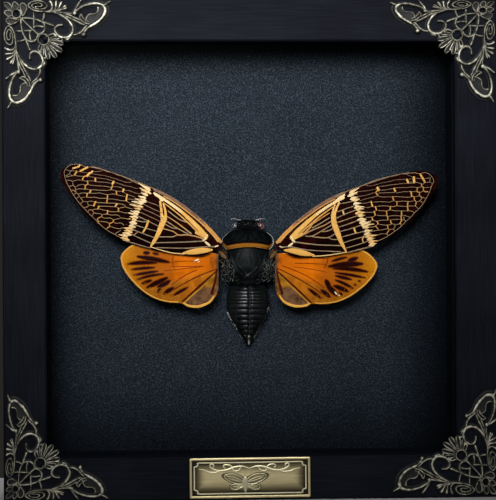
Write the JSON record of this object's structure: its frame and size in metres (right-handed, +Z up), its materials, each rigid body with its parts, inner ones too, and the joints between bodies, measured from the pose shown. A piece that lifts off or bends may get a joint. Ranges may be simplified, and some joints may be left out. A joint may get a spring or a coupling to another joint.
{
  "type": "framed cicada",
  "caption": "Spread cicada mounted on a dark board behind glass in a deep black wooden box frame with pierced metal corners and a nameplate, to stand or hang as decoration.",
  "frame": {"origin": "on the surface that the frame stands on, under the middle of its width and depth", "axes": "+Z up along the insect's body towards its head, +X to the right seen from the glass, -Y out of the glass towards the viewer"},
  "size_m": [0.185, 0.0368, 0.187],
  "materials": {
    "black_wood": "black paint over fine grain, satin",
    "clear_glass": "clear",
    "black_lining": "matt black",
    "blue_black_board": "fine embossed grain, matt",
    "fibreboard": "raw hardboard",
    "plated_steel": "thin zinc plate",
    "aged_bronze": "darkened in the hollows, rubbed bright on the high lines",
    "brushed_brass": "brushed along its length, darkened in the grooves",
    "black_cuticle": "glossy dried cuticle",
    "eye": "glossy dried eye",
    "forewing": "dark maroon membrane with pale raised veins",
    "hindwing": "orange membrane with black streaks"
  },
  "bodies": {
    "root": {"rail_top": "black_wood", "rail_bottom": "black_wood", "rail_left": "black_wood", "rail_right": "black_wood", "glass_pane": "clear_glass", "spacer_top": "black_lining", "spacer_bottom": "black_lining", "spacer_left": "black_lining", "spacer_right": "black_lining", "mount_board": "blue_black_board", "back_panel": "fibreboard", "back_tab_top": "plated_steel", "back_tab_bottom": "plated_steel", "back_tab_left": "plated_steel", "back_tab_right": "plated_steel", "sawtooth_hanger": "plated_steel", "corner_ornament_top_left": "aged_bronze", "corner_ornament_top_right": "aged_bronze", "corner_ornament_bottom_left": "aged_bronze", "corner_ornament_bottom_right": "aged_bronze", "nameplate": "brushed_brass", "head": "black_cuticle", "eye_left": "eye", "eye_right": "eye", "antenna_left": "black_cuticle", "antenna_right": "black_cuticle", "pronotum": "black_cuticle", "thorax": "black_cuticle", "abdomen": "black_cuticle", "fore_leg_left": "black_cuticle", "fore_leg_right": "black_cuticle", "mid_leg_left": "black_cuticle", "mid_leg_right": "black_cuticle", "hind_leg_left": "black_cuticle", "hind_leg_right": "black_cuticle", "forewing_left": "forewing", "forewing_right": "forewing", "hindwing_left": "hindwing", "hindwing_right": "hindwing"}
  },
  "joints": []
}
